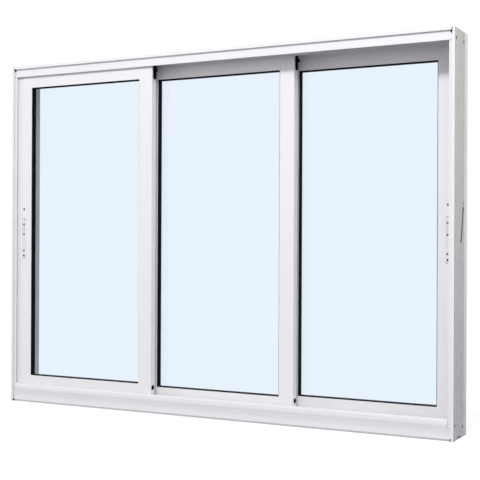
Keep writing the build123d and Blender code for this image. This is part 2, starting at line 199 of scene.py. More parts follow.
class StageSettings(PropertyGroup):
    """Camera, lamps and floor."""
    camera_place: FloatVectorProperty(
        name="Camera place", description="Where the camera stands",
        default=(1.6604, -3.0225, 0.5746), **PLACE)
    camera_yaw: FloatProperty(
        name="Yaw", description="Turn of the camera to the right of the window's front",
        unit="ROTATION", default=math.radians(27.603))
    camera_pitch: FloatProperty(
        name="Pitch", description="Tilt of the camera, positive where it looks down",
        unit="ROTATION", default=math.radians(-0.110))
    camera_roll: FloatProperty(
        name="Roll", description="Roll of the camera about its line of sight",
        unit="ROTATION", default=math.radians(0.254))
    lens: FloatProperty(
        name="Lens", description="Focal length on a 36 mm sensor, in millimetres",
        min=1.0, subtype="DISTANCE_CAMERA", default=78.31)
    key_power: FloatProperty(
        name="Key", description="Power of the key lamp", min=0.0, unit="POWER", default=328.0)
    key_place: FloatVectorProperty(
        name="Key place", description="Where the key lamp hangs", default=(1.0, -4.6, 5.57), **PLACE)
    key_size: FloatProperty(
        name="Key size", description="Side of the square key lamp", min=0.01, unit="LENGTH", default=1.0)
    fill_power: FloatProperty(
        name="Fill", description="Power of the fill lamp", min=0.0, unit="POWER", default=34.0)
    fill_place: FloatVectorProperty(
        name="Fill place", description="Where the fill lamp stands", default=(3.3, -0.6, 2.0), **PLACE)
    fill_aim: FloatVectorProperty(
        name="Fill aim", description="What the fill lamp points at", default=(0.0, 0.0, 2.2), **PLACE)
    fill_size: FloatProperty(
        name="Fill size", description="Side of each square fill lamp", min=0.01, unit="LENGTH", default=1.0)
    low_power: FloatProperty(
        name="Low fill", description="Power of the low fill lamp", min=0.0, unit="POWER", default=80.0)
    low_place: FloatVectorProperty(
        name="Low fill place", description="Where the low fill lamp stands",
        default=(-7.0, -2.8, 0.6), **PLACE)
    room: FloatVectorProperty(
        name="Room", description="Light of the studio's walls in front of the window",
        default=(0.93, 0.92, 0.93, 1.0), **SOLID)
    ceiling: FloatVectorProperty(
        name="Ceiling", description="Light of the studio's ceiling",
        default=(0.32, 0.32, 0.325, 1.0), **SOLID)
    backdrop: FloatVectorProperty(
        name="Backdrop", description="Light of the pale backdrop behind the window",
        default=(0.96, 0.90, 0.83, 1.0), **SOLID)
    floor: FloatVectorProperty(
        name="Floor", description="Colour of the floor", default=(0.26, 0.26, 0.27, 1.0), **SOLID)
    floor_glow: FloatProperty(
        name="Floor glow", description="Light that the floor shows the camera beside the lamps'",
        default=0.78, **SHARE)
    floor_size: FloatProperty(
        name="Floor size", description="Side of the square floor", min=1.0, unit="LENGTH", default=60.0)
    shadow_reach: FloatProperty(
        name="Shadow reach", description="Distance at which the floor has faded into the backdrop",
        min=0.1, unit="LENGTH", default=2.6)


class WindowSettings(PropertyGroup):
    """Everything about the window that the panel's steps use."""
    coat: PointerProperty(type=CoatSettings)
    glass: PointerProperty(type=GlassSettings)
    trim: PointerProperty(type=TrimSettings)
    stage: PointerProperty(type=StageSettings)


# Node helpers

def feed(tree, node, inputs):
    """Sets or links each named or numbered input of a node."""
    for name, value in inputs.items():
        if isinstance(value, NodeSocket):
            tree.links.new(value, node.inputs[name])
        else:
            node.inputs[name].default_value = value


def place(tree, kind, inputs=None, **settings):
    """Adds a node, gives it its settings and feeds its inputs."""
    made = tree.nodes.new(kind)
    for name, value in settings.items():
        setattr(made, name, value)
    feed(tree, made, inputs or {})
    return made


def math_node(tree, operation, first, second=0.0):
    """Adds an operation on two values and returns its output."""
    return place(tree, "ShaderNodeMath", {0: first, 1: second}, operation=operation).outputs[0]


def vector_node(tree, operation, inputs):
    """Adds an operation on vectors and returns its outputs."""
    return place(tree, "ShaderNodeVectorMath", inputs, operation=operation).outputs


def split(tree, vector):
    """Adds a split of a vector and returns its three parts."""
    return place(tree, "ShaderNodeSeparateXYZ", {0: vector}).outputs


def mix_colour(tree, factor, first, second):
    """Adds a mix of two colours and returns its output."""
    return place(tree, "ShaderNodeMix", {0: factor, 6: first, 7: second}, data_type="RGBA").outputs[2]


def mix_shader(tree, factor, first, second):
    """Adds a mix of two shader nodes and returns it."""
    return place(tree, "ShaderNodeMixShader", {0: factor, 1: first.outputs[0], 2: second.outputs[0]})


def scaled_colour(tree, colour, factor):
    """Adds a colour times a factor and returns its output."""
    return vector_node(tree, "SCALE", {0: colour, "Scale": factor})[0]


def ramp(tree, value, span, result=(0.0, 1.0)):
    """Adds a clamped straight ramp from one span of values to another and returns its output."""
    ends = {"From Min": span[0], "From Max": span[1], "To Min": result[0], "To Max": result[1]}
    return place(tree, "ShaderNodeMapRange", {"Value": value, **ends}).outputs[0]


def fade(tree, value, full, none):
    """Adds a ramp that falls from one, at the full value, to nought and returns its output."""
    return ramp(tree, value, (full, none), (1.0, 0.0))


def apart(tree, value, centre):
    """Adds the distance of a value from a centre and returns its output."""
    return math_node(tree, "ABSOLUTE", math_node(tree, "SUBTRACT", value, centre))


def noise(tree, vector, scale, detail):
    """Adds a noise texture and returns its value."""
    inputs = {"Vector": vector, "Scale": scale, "Detail": detail}
    return place(tree, "ShaderNodeTexNoise", inputs).outputs[0]


def squeezed_noise(tree, vector, squeeze, detail):
    """Adds a noise that is squeezed by a factor along each axis and returns its value."""
    squeezed = vector_node(tree, "MULTIPLY", {0: vector, 1: squeeze})[0]
    return noise(tree, squeezed, 1.0, detail)


def bump_from(tree, height, distance):
    """Turns a height into a normal."""
    return place(tree, "ShaderNodeBump", {"Height": height, "Distance": distance}).outputs[0]


def start_group(name, inputs, outputs):
    """Starts a shader group with the named sockets and returns it with what it is given and its end."""
    group = bpy.data.node_groups.new(name, "ShaderNodeTree")
    for label, kind, default in inputs:
        socket = group.interface.new_socket(label, in_out="INPUT", socket_type=kind)
        if default is not None:
            socket.default_value = default
    for label, kind in outputs:
        group.interface.new_socket(label, in_out="OUTPUT", socket_type=kind)
    given = group.nodes.new("NodeGroupInput").outputs
    return group, given, group.nodes.new("NodeGroupOutput")


def use_group(tree, name, inputs):
    """Places a finished group in a material with its own values and returns its outputs."""
    return place(tree, "ShaderNodeGroup", inputs, node_tree=bpy.data.node_groups[name]).outputs


def start_material(name):
    """Starts a material and returns it with its node tree, shader and Object coordinates."""
    material = bpy.data.materials.new(name)
    material.use_nodes = True
    tree = material.node_tree
    shader = tree.nodes["Principled BSDF"]
    coordinates = tree.nodes.new("ShaderNodeTexCoord").outputs["Object"]
    return material, tree, shader, coordinates


def dress(nodes, material):
    """Gives a material to every slot of the named nodes."""
    for node in nodes:
        for slot in frame["nodes"][node].material_slots:
            slot.material = material


# Shared effects

VECTOR = "NodeSocketVector"
COLOUR = "NodeSocketColor"
VALUE = "NodeSocketFloat"
# Between which values most of a noise lies, and most of the fine grain
NOISE_SPAN = (0.3, 0.7)
GRAIN_SPAN = (0.4, 0.95)


def group_fine_grain():
    """Two layers of noise, the finer one at three times the scale and a third of the height."""
    inputs = [("Vector", VECTOR, None), ("Scale", VALUE, 400.0)]
    group, given, end = start_group("fine_grain", inputs, [("Height", VALUE)])
    broad = noise(group, given["Vector"], given["Scale"], detail=1.0)
    finer = math_node(group, "MULTIPLY", given["Scale"], 3.1)
    fine = math_node(group, "MULTIPLY", noise(group, given["Vector"], finer, detail=2.0), 0.33)
    feed(group, end, {"Height": math_node(group, "ADD", broad, fine)})


def group_tone_drift():
    """The colour times a slow noise, which takes it from one less the drift up to its own tone."""
    inputs = [("Vector", VECTOR, None), ("Color", COLOUR, None),
              ("Scale", VALUE, 3.0), ("Drift", VALUE, 0.03)]
    group, given, end = start_group("tone_drift", inputs, [("Color", COLOUR)])
    share = ramp(group, noise(group, given["Vector"], given["Scale"], detail=4.0), NOISE_SPAN)
    tone = math_node(group, "SUBTRACT", 1.0, math_node(group, "MULTIPLY", share, given["Drift"]))
    feed(group, end, {"Color": scaled_colour(group, given["Color"], tone)})


def group_settled_dust_and_shade():
    """Dust and painted shade where a face looks up: the upward part of the normal to a power, times a
    patchy noise.

    The darker colour is settled dust and also painted shade, which damps the key lamp's light on upward
    faces of the coat. The higher the power, the less of it lies on slopes.
    """
    inputs = [("Vector", VECTOR, None), ("Color", COLOUR, None), ("Dust", COLOUR, None),
              ("Amount", VALUE, 0.2), ("Power", VALUE, 2.0)]
    group, given, end = start_group("settled_dust_and_shade", inputs, [("Color", COLOUR), ("Mask", VALUE)])
    upward = split(group, group.nodes.new("ShaderNodeNewGeometry").outputs["Normal"])[2]
    steepest = 0.15
    facing = math_node(group, "POWER", ramp(group, upward, (steepest, 1.0)), given["Power"])
    patches = noise(group, given["Vector"], scale=70.0, detail=8.0)
    cover = ramp(group, patches, NOISE_SPAN, (0.75, 1.0))
    mask = math_node(group, "MULTIPLY", math_node(group, "MULTIPLY", facing, cover), given["Amount"])
    feed(group, end, {"Color": mix_colour(group, mask, given["Color"], given["Dust"]), "Mask": mask})


def group_slide_marks():
    """Fine scratches along X: noise squeezed across the run and cut off at a high level."""
    inputs = [("Vector", VECTOR, None), ("Amount", VALUE, 0.5)]
    group, given, end = start_group("slide_marks", inputs, [("Mask", VALUE)])
    lines = squeezed_noise(group, given["Vector"], (9.0, 1900.0, 1900.0), detail=3.0)
    cut_off = (0.55, 0.72)
    feed(group, end, {"Mask": math_node(group, "MULTIPLY", ramp(group, lines, cut_off), given["Amount"])})


def make_groups():
    """Builds each shared effect once."""
    group_fine_grain()
    group_tone_drift()
    group_settled_dust_and_shade()
    group_slide_marks()


# Materials

def powder_coat(settings, name, dust_and_shade, power, under=None):
    """White powder coat: orange peel, a slow drift of tone, and an amount of dust and painted shade to a
    power of the slope.

    under is a function that returns the coat's colour with what shows through it, or None.
    """
    coat_roughness = (0.36, 0.46)
    dust_roughness = 0.55
    material, tree, shader, coordinates = start_material(name)
    colour = use_group(tree, "tone_drift", {
        "Vector": coordinates, "Color": settings.colour, "Scale": 2.3, "Drift": settings.drift})["Color"]
    peel_scale = 1.0 / settings.peel_size
    peel = use_group(tree, "fine_grain", {"Vector": coordinates, "Scale": peel_scale})["Height"]
    if under:
        colour = under(tree, shader, coordinates, settings, colour)
    dusted_and_shaded = use_group(tree, "settled_dust_and_shade", {
        "Vector": coordinates, "Color": colour, "Dust": settings.dust_and_shade_colour,
        "Amount": dust_and_shade, "Power": power})
    gloss = ramp(tree, peel, GRAIN_SPAN, coat_roughness)
    dulled = math_node(tree, "MULTIPLY", dusted_and_shaded["Mask"], dust_roughness)
    feed(tree, shader, {
        "Base Color": dusted_and_shaded["Color"],
        "Roughness": math_node(tree, "ADD", gloss, dulled),
        "Normal": bump_from(tree, peel, settings.peel_depth)})
    return material


def worn_crests(tree, shader, coordinates, settings, colour):
    """Bare metal within a hair of a track's crest, some all along it and more where the slide marks are."""
    bare, coated = 0.0004, 0.0018
    least = 0.35
    height = split(tree, coordinates)[2]
    marks = use_group(tree, "slide_marks", {"Vector": coordinates, "Amount": 0.5})["Mask"]
    zone = 0.0
    for crest in sorted({round(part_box(f"{sash}_sash_wheels")[0].z, 4) for sash in SASHES}):
        near = fade(tree, apart(tree, height, crest), bare, coated)
        zone = math_node(tree, "MAXIMUM", near, zone)
    worn = math_node(tree, "MULTIPLY", zone, math_node(tree, "ADD", marks, least))
    feed(tree, shader, {"Metallic": worn})
    return mix_colour(tree, worn, colour, settings.bare_metal)


def jamb_outside(tree, shader, coordinates, settings, colour):
    """What shows on a jamb's outer web, which a wall hides: a darker smudged grey, with painted shade in
    its holes, slot and notch.

    The grey darkens towards the foot as painted shade, and a strip along the rear is painted lighter as
    painted light, fading towards the foot, behind a faint dark line of painted shade.
    """
    web_skin = (FRAME_EDGE - 0.0003, FRAME_EDGE - 0.0002)
    foot_shade_height = 0.75 * FRAME_TOP
    shade_line_depth = 0.031
    shade_line_blur = (0.002, 0.007)
    shade_line_strength = 0.22
    lit_strip_edge = (0.036, 0.041)
    across, depth, height = split(tree, coordinates)
    outside = ramp(tree, math_node(tree, "ABSOLUTE", across), web_skin)
    low = fade(tree, height, 0.0, foot_shade_height)
    # Painted shade: darker towards the foot.
    thin = mix_colour(tree, low, settings.outer_colour, settings.foot_shade_colour)
    # Painted shade: a faint dark line along the outer web.
    line = ramp(tree, apart(tree, depth, shade_line_depth), shade_line_blur, (shade_line_strength, 0.0))
    with_shade_line = mix_colour(tree, line, thin, settings.painted_shade_colour)
    # Painted light: a lighter strip along the rear, fading towards the foot.
    lit_strip_strength = ramp(tree, low, (0.4, 1.0), (1.0, 0.35))
    strip = math_node(tree, "MULTIPLY", ramp(tree, depth, lit_strip_edge), lit_strip_strength)
    with_lit_strip = mix_colour(tree, strip, with_shade_line, settings.lit_strip_colour)
    smudge = ramp(tree, noise(tree, coordinates, scale=38.0, detail=5.0), NOISE_SPAN, (0.85, 1.0))
    coated = mix_colour(tree, math_node(tree, "MULTIPLY", outside, smudge), colour, with_lit_strip)
    # Painted shade in the holes, strike slot and drain notch.
    return mix_colour(tree, hole_shade_mask(tree, coordinates), coated, settings.painted_shade_colour)


def hole_shade_mask(tree, coordinates):
    """A mask of painted shade close to a jamb's holes, drain notch and strike slot, seen from the side."""
    blur = 1.2
    end_blur = 0.001
    flat = vector_node(tree, "MULTIPLY", {0: coordinates, 1: (0.0, 1.0, 1.0)})[0]
    mask = 0.0
    for spot, radius in round_shade_marks():
        distance = vector_node(tree, "DISTANCE", {0: flat, 1: spot})["Value"]
        mask = math_node(tree, "MAXIMUM", fade(tree, distance, radius, blur * radius), mask)
    for spot, lean, half_width, half_length in long_shade_marks():
        turn = {"Vector": flat, "Location": spot, "Rotation": (lean, 0.0, 0.0)}
        local = place(tree, "ShaderNodeMapping", turn, vector_type="TEXTURE").outputs[0]
        _, depth, height = split(tree, local)
        beside = fade(tree, math_node(tree, "ABSOLUTE", depth), half_width, blur * half_width)
        along = fade(tree, math_node(tree, "ABSOLUTE", height), half_length, half_length + end_blur)
        mask = math_node(tree, "MAXIMUM", math_node(tree, "MULTIPLY", beside, along), mask)
    return mask


def round_shade_marks():
    """Place and radius of each round patch of painted shade on a jamb: its fixing holes, the strike's pivot
    and screw.
    """
    hole_mark = 0.0052
    pivot_mark = 0.0085
    screw_mark = 0.004
    cuts = []
    for mount in frame["record"]["mounts"]:
        if mount["kind"] == "bolt_pattern" and mount["pos_m"][0] > 0.0:
            # Half the spacing, in metres
            half = mount["dims"]["spacing_y_mm"] / 2000.0
            for way in (-half, half):
                cuts.append(((0.0, mount["pos_m"][1], mount["pos_m"][2] + way), hole_mark))
    _, _, pivot, screw = strike_places()
    return cuts + [((0.0, pivot[1], pivot[2]), pivot_mark), ((0.0, screw[1], screw[2]), screw_mark)]


def long_shade_marks():
    """Place, lean, half width and half length of the painted shade in the strike slot and in the drain
    notch at the foot.
    """
    slot_half = 0.006
    notch_depth = FRAME_FRONT + 0.054
    notch_half = 0.016
    notch_height = 0.0085
    slot, _, _, _ = strike_places()
    return [((0.0, slot[1], slot[2]), -STRIKE_LEAN, slot_half, STRIKE_LENGTH / 2.0),
            ((0.0, notch_depth, 0.0), 0.0, notch_half, notch_height)]


def strike_places():
    """Middle of the strike slot, its direction, and the places of its pivot and of the screw over it."""
    pivot_below_end = 0.002
    screw_above_end = 0.015
    along = np.array((0.0, math.sin(STRIKE_LEAN), math.cos(STRIKE_LEAN)))
    middle = np.array((0.0, STRIKE_DEPTH, STRIKE_HEIGHT))
    end = middle + along * STRIKE_LENGTH / 2.0
    return middle, along, end - along * pivot_below_end, end + along * screw_above_end


def float_glass(settings):
    """Clear glass with faint roller waves.

    It lets the lamps, and the light between matt surfaces, straight through.
    """
    material, tree, shader, coordinates = start_material("float_glass")
    waves = noise(tree, coordinates, scale=6.0, detail=0.0)
    feed(tree, shader, {
        "Base Color": settings.tint, "Transmission Weight": 1.0, "IOR": 1.5, "Roughness": 0.0,
        "Normal": bump_from(tree, waves, settings.waviness)})
    clear = place(tree, "ShaderNodeBsdfTransparent", {"Color": settings.lamp_tint})
    path = tree.nodes.new("ShaderNodeLightPath").outputs
    straight = math_node(tree, "MAXIMUM", path["Is Shadow Ray"], path["Is Diffuse Ray"])
    mixed = mix_shader(tree, straight, shader, clear)
    feed(tree, tree.nodes["Material Output"], {"Surface": mixed.outputs[0]})
    return material


def grained(name, colour, drift, dust_and_shade, grain, roughness, shine):
    """A moulded surface: a slow drift of tone, settled dust and a fine grain.

    drift is its scale and extent, dust_and_shade its colour and amount, and grain its scale and depth.
    """
    material, tree, shader, coordinates = start_material(name)
    drifted = use_group(tree, "tone_drift", {
        "Vector": coordinates, "Color": colour, "Scale": drift[0], "Drift": drift[1]})["Color"]
    dusted_and_shaded = use_group(tree, "settled_dust_and_shade", {
        "Vector": coordinates, "Color": drifted, "Dust": dust_and_shade[0], "Amount": dust_and_shade[1]})
    bumps = use_group(tree, "fine_grain", {"Vector": coordinates, "Scale": grain[0]})["Height"]
    feed(tree, shader, {
        "Base Color": dusted_and_shaded["Color"],
        "Roughness": ramp(tree, bumps, GRAIN_SPAN, roughness),
        "Specular IOR Level": shine,
        "Normal": bump_from(tree, bumps, grain[1])})
    return material


def black_rubber(settings):
    """Matt black rubber with a fine grain and a breath of dust."""
    return grained("black_rubber", settings.rubber, drift=(30.0, 0.35),
                   dust_and_shade=((0.10, 0.097, 0.092, 1.0), 0.3), grain=(1600.0, 0.00008),
                   roughness=(0.55, 0.75), shine=0.06)


def woven_pile(settings):
    """Dark pile: fibres that stand up, a noise squeezed along the strip's length, with pale tips."""
    paler = 2.6
    fibre_depth = 0.0003
    material, tree, shader, coordinates = start_material("woven_pile")
    fibres = squeezed_noise(tree, coordinates, (1100.0, 500.0, 2600.0), detail=2.0)
    pale = tuple(paler * channel for channel in settings.pile[:3]) + (1.0,)
    feed(tree, shader, {
        "Base Color": mix_colour(tree, ramp(tree, fibres, (0.35, 0.75)), settings.pile, pale),
        "Roughness": ramp(tree, fibres, (0.2, 0.8), (0.95, 0.8)),
        "Specular IOR Level": 0.1,
        "Normal": bump_from(tree, fibres, fibre_depth)})
    return material


# Scale of the moulding's grain, and its roughness from smooth to rough
GLOSSY_MOULDING = (1300.0, (0.25, 0.38))
DULL_MOULDING = (1100.0, (0.45, 0.6))
ROLLER_MOULDING = (900.0, (0.40, 0.55))


def moulded_plastic(name, colour, moulding):
    """Moulded plastic with a spark-eroded grain, a slow drift of tone and some dust."""
    grain_scale, roughness = moulding
    return grained(name, colour, drift=(25.0, 0.06), dust_and_shade=((0.45, 0.43, 0.40, 1.0), 0.25),
                   grain=(grain_scale, 0.00005), roughness=roughness, shine=0.5)


def plated_steel(name, colour, roughness):
    """Plated steel with small crystals of differing tone and fine rolling marks."""
    mark_depth = 0.00003
    darkest = 0.8
    material, tree, shader, coordinates = start_material(name)
    crystals = place(tree, "ShaderNodeTexVoronoi", {"Vector": coordinates, "Scale": 450.0}).outputs["Color"]
    tone = ramp(tree, crystals, (0.0, 1.0), (darkest, 1.0))
    marks = use_group(tree, "slide_marks", {"Vector": coordinates, "Amount": 1.0})["Mask"]
    feed(tree, shader, {
        "Base Color": scaled_colour(tree, colour[:3], tone),
        "Metallic": 1.0,
        "Roughness": ramp(tree, marks, (0.0, 1.0), roughness),
        "Normal": bump_from(tree, marks, mark_depth)})
    return material


# Surfaces

def spokes_round(count):
    """Angles of a number of spokes, evenly round a full turn."""
    return np.linspace(0.0, 2.0 * np.pi, count, endpoint=False)


def grid_quads(rows, columns, wrap_columns):
    """Corner numbers of the quads of a grid, closed round along its columns where they wrap."""
    row = np.arange(rows - 1)
    column = np.arange(columns if wrap_columns else columns - 1)
    row, column = np.meshgrid(row, column, indexing="ij")
    following = (column + 1) % columns
    corners = [row * columns + column, row * columns + following,
               (row + 1) * columns + following, (row + 1) * columns + column]
    return np.stack(corners, axis=-1).reshape(-1, 4)


def turned_form(points):
    """Closes a stack of rings, an array of rows by spokes by three, with a face at each end."""
    rows, spokes = points.shape[:2]
    first = np.arange(spokes)
    faces = grid_quads(rows, spokes, True).tolist()
    faces.append(first[::-1].tolist())
    faces.append((first + (rows - 1) * spokes).tolist())
    return points.reshape(-1, 3), faces


def joined(forms):
    """Puts several closed forms into one set of points and faces."""
    points = []
    faces = []
    count = 0
    for form_points, form_faces in forms:
        points.append(form_points)
        faces.extend([[corner + count for corner in face] for face in form_faces])
        count += len(form_points)
    return np.concatenate(points), faces


def add_object(name, data):
    """Puts a mesh, a lamp or a camera into the scene as an object at the origin."""
    made = bpy.data.objects.new(name, data)
    bpy.context.scene.collection.objects.link(made)
    return made


def new_piece(name, form, body, material):
    """Makes a smooth mesh piece from a form, turns its faces outwards, and rides it on its body."""
    points, faces = form
    mesh = bpy.data.meshes.new(name)
    mesh.from_pydata(points.tolist(), [], faces)
    mesh.validate()
    if signed_volume(points, faces) < 0.0:
        mesh.flip_normals()
    mesh.shade_smooth()
    mesh.set_sharp_from_angle(angle=math.radians(40.0))
    mesh.materials.append(material)
    piece = add_object(name, mesh)
    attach(piece, body)
    return piece


def signed_volume(points, faces):
    """Volume inside the faces, from fans of tetrahedra to the origin: negative where they point inwards."""
    total = 0.0
    for face in faces:
        corners = points[face]
        total += np.einsum("j,ij->", corners[0], np.cross(corners[1:-1], corners[2:]))
    return total


def soft_step(value, edge, sharpness):
    """Falls smoothly from one inside an edge to nought outside it."""
    return 1.0 / (1.0 + np.exp((np.abs(value) - edge) * sharpness))


def cross_screw(centre, right, up, radius, depth):
    """A cross-recessed screw head that looks along right times up.

    Rings by spokes. Its crown falls with the square of the radius, less a cross that is the larger of two
    bars, each the product of two soft steps. The last rings turn back as a tapered skirt.
    """
    bar_half, bar_reach, bar_sharpness = 0.14, 0.62, 28.0
    crown_fall = 0.12
    recess_depth = 0.4
    skirt = 0.8
    crown = np.linspace(0.04, 1.0, 24)
    ring = np.concatenate([crown, [1.0, skirt]])
    back = np.concatenate([np.zeros(len(crown)), [0.5, 1.0]])
    spoke = spokes_round(48)
    across = np.outer(ring, np.cos(spoke))
    along = np.outer(ring, np.sin(spoke))
    bars = [soft_step(one, bar_half, bar_sharpness) * soft_step(other, bar_reach, bar_sharpness)
            for one, other in ((across, along), (along, across))]
    recess = np.maximum(*bars) * (back == 0.0)[:, None]
    rise = -radius * (crown_fall * ring[:, None] ** 2 + recess_depth * recess) - depth * back[:, None]
    right = np.array(right)
    up = np.array(up)
    outward = np.cross(right, up)
    points = (np.array(centre) + radius * across[..., None] * right + radius * along[..., None] * up
              + rise[..., None] * outward)
    return turned_form(points)


def oblong_pad(centre, along, across, half_length, half_width, thickness, dish):
    """A flat oblong with round ends, dished along its middle, which looks along along times across.

    Rings by spokes of the outline, a circle of the half width drawn out along the length. Each ring is a
    share of the outline, and the height falls by the dish inside half of it. The last ring is the back.
    """
    share = np.array([0.05, 0.35, 0.5, 0.62, 0.86, 1.0, 1.0])
    height = np.array([-dish, -dish, -dish, 0.0, 0.0, -0.25 * thickness, -thickness])
    spoke = spokes_round(64)
    run = (half_length - half_width) * np.sign(np.cos(spoke)) + half_width * np.cos(spoke) * share[:, None]
    side = half_width * np.sin(spoke) * share[:, None]
    along = np.array(along)
    across = np.array(across)
    outward = np.cross(along, across)
    points = (np.array(centre) + run[..., None] * along + side[..., None] * across
              + (height[:, None] + 0.0 * side)[..., None] * outward)
    return turned_form(points)


def ridged_grip(centre, half_width, half_length, ridges, depth):
    """A thumb grip that looks along -Y: a sheet over width and length closed by its border.

    The height is the depth times a raised cosine along the length, which makes the ridges, over a low
    floor, times a soft step towards all four edges.
    """
    floor = 0.25
    rows = 17
    spots_per_ridge = 12
    spots = spots_per_ridge * ridges + 1
    across, along = np.meshgrid(np.linspace(-1.0, 1.0, rows), np.linspace(-1.0, 1.0, spots), indexing="ij")
    wave = 0.5 - 0.5 * np.cos(np.pi * ridges * (along + 1.0))
    border = (soft_step(across, edge=0.9, sharpness=60.0)
              * soft_step(along, edge=0.97, sharpness=160.0))
    lift = depth * (floor + (1.0 - floor) * wave) * border
    face = np.stack([centre[0] + half_width * across,
                     centre[1] - lift,
                     centre[2] + half_length * along], axis=-1)
    number = np.arange(across.size).reshape(across.shape)
    rim = np.concatenate([number[:-1, 0], number[-1, :-1], number[:0:-1, -1], number[0, :0:-1]])
    faces = grid_quads(rows, spots, False).tolist()
    faces.append(rim[::-1].tolist())
    return face.reshape(-1, 3), faces


def soft_block(low, high, softness):
    """A block with rounded edges: a rounded oblong outline carried along Z and drawn in at both ends."""
    drawn_in = 0.7
    low = np.array(low)
    high = np.array(high)
    middle = (low + high) / 2.0
    half = (high - low) / 2.0
    spoke = spokes_round(32)
    corner = np.sign(np.cos(spoke)), np.sign(np.sin(spoke))
    level = np.array([-half[2], softness - half[2], half[2] - softness, half[2]])
    inset = np.array([softness, 0.0, 0.0, softness])[:, None]
    points = np.stack([
        middle[0] + corner[0] * (half[0] - softness) + (softness - drawn_in * inset) * np.cos(spoke),
        middle[1] + corner[1] * (half[1] - softness) + (softness - drawn_in * inset) * np.sin(spoke),
        middle[2] + level[:, None] + 0.0 * spoke], axis=-1)
    return turned_form(points)


def pile_strip(x, y, way, low, high, width, height):
    """A strip of pile along Z that stands on a face at y and points along way.

    A brush section, a base with a narrower tuft, carried up the strip. The tuft's tip wanders by a mean of
    three sines of differing length, so that it looks brushed.
    """
    waves = ((310.0, 0.0), (197.0, 1.0), (83.0, 2.0))
    sideways, upwards = 0.08, 0.05
    level = np.linspace(low, high, 160)
    outline = np.array([(-0.5, 0.0), (-0.5, 0.18), (-0.3, 0.24), (-0.36, 0.9), (-0.12, 1.0),
                        (0.12, 1.0), (0.36, 0.9), (0.3, 0.24), (0.5, 0.18), (0.5, 0.0)])
    wander = sum(np.sin(level * rate + phase) for rate, phase in waves) / len(waves)
    lean = sideways * wander[:, None] * outline[:, 1]
    points = np.stack([
        x + width * (outline[:, 0] + lean),
        y + way * height * outline[:, 1] * (1.0 + upwards * wander[:, None]),
        level[:, None] + 0.0 * lean], axis=-1)
    return turned_form(points)


# Operators

class WINDOW_OT_coat(Operator):
    """Powder-coat the frame and the sashes"""
    bl_idname = "window.coat"
    bl_label = "Powder coat"

    def execute(self, context):
        settings = context.scene.sliding_window.coat
        level_only = 2.0
        slopes_too = 0.9
        white = powder_coat(settings, "white_powder_coat", settings.dust_and_shade, level_only)
        dress(["head"], white)
        dress([f"{sash}_sash_{part}" for sash in SASHES for part in SASH_PARTS], white)
        # The sill takes dust and painted shade on its slopes too, which darkens its lit nose and bevels.
        tracks = powder_coat(
            settings, "white_powder_coat_on_tracks", settings.sill_dust_and_shade, slopes_too, worn_crests)
        jambs = powder_coat(settings, "white_powder_coat_on_jambs", settings.dust_and_shade, level_only, jamb_outside)
        dress(["sill"], tracks)
        dress(["left_jamb", "right_jamb"], jambs)
        return {"FINISHED"}


class WINDOW_OT_glaze(Operator):
    """Glaze the three sashes"""
    bl_idname = "window.glaze"
    bl_label = "Glass"

    def execute(self, context):
        dress([f"{sash}_glass" for sash in SASHES], float_glass(context.scene.sliding_window.glass))
        return {"FINISHED"}


class WINDOW_OT_rubber(Operator):
    """Finish the gaskets, round the plugs and buffers and put dark pads of painted shade in the frame's
    corner joints
    """
    bl_idname = "window.rubber"
    bl_label = "Gaskets and buffers"

    def execute(self, context):
        rubber = black_rubber(context.scene.sliding_window.trim)
        dress([f"{sash}_gasket" for sash in SASHES], rubber)
        # Painted shade: dark pads in the corner joints, which lie in shadow.
        new_piece("corner_joint_shade_pads", joined(corner_shade_pads()), "frame", rubber)
        for sash in PLUGGED_SASHES:
            body = f"{sash}_sash"
            plug = new_piece(f"{sash}_sash_round_plug", stile_plug(sash), body, rubber)
            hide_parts(f"{sash}_sash_plug")
            form = joined(stile_buffer(sash))
            buffer = new_piece(f"{sash}_sash_round_buffer", form, body, rubber)
            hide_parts(f"{sash}_sash_buffer")
        return {"FINISHED"}


def corner_shade_pads():
    """Dark rubber pads in the joints beside the jambs' lips, painted shade where those joints lie in
    shadow: one at the sill's foot and two at the head's lip.

    Each pad has its width, its lower and upper end, and how far it lies behind the front of the lips.
    """
    lip_width = 0.0075
    seat = FRAME_FRONT + 0.005
    softness = 0.0006
    shapes = ((0.0034, 0.0006, 0.0075, 0.0012),
              (0.0034, FRAME_TOP - 0.0141, FRAME_TOP - 0.0006, 0.0003),
              (0.0055, FRAME_TOP - 0.0145, FRAME_TOP - 0.0083, 0.0009))
    pads = []
    for _, way in SIDES:
        outer = way * (FRAME_EDGE - lip_width)
        for width, low, high, recess in shapes:
            inner = outer - way * width
            pads.append(soft_block((min(outer, inner), FRAME_FRONT + recess, low),
                                   (max(outer, inner), seat, high), softness))
    return pads


def stile_plug(sash):
    """A rubber plug along +X: rings for a stem in the stile's wall and a wider head with a low dome."""
    low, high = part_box(f"{sash}_sash_plug")
    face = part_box(f"{sash}_sash_right_stile")[1].x
    stem = (high.z - low.z) / 2.0
    head = stem + 0.0014
    edge = 0.0005
    dome = 0.0012
    rounding = 0.003
    turn = np.linspace(0.0, 0.46 * np.pi, 9)
    reach = np.concatenate([[low.x - face, 0.0, 0.0, edge], edge + dome * np.sin(turn)])
    ring = np.concatenate([[stem, stem, head, head], head - rounding + rounding * np.cos(turn)])
    return turned_about_x((face, (low.y + high.y) / 2.0, (low.z + high.z) / 2.0), reach, ring)


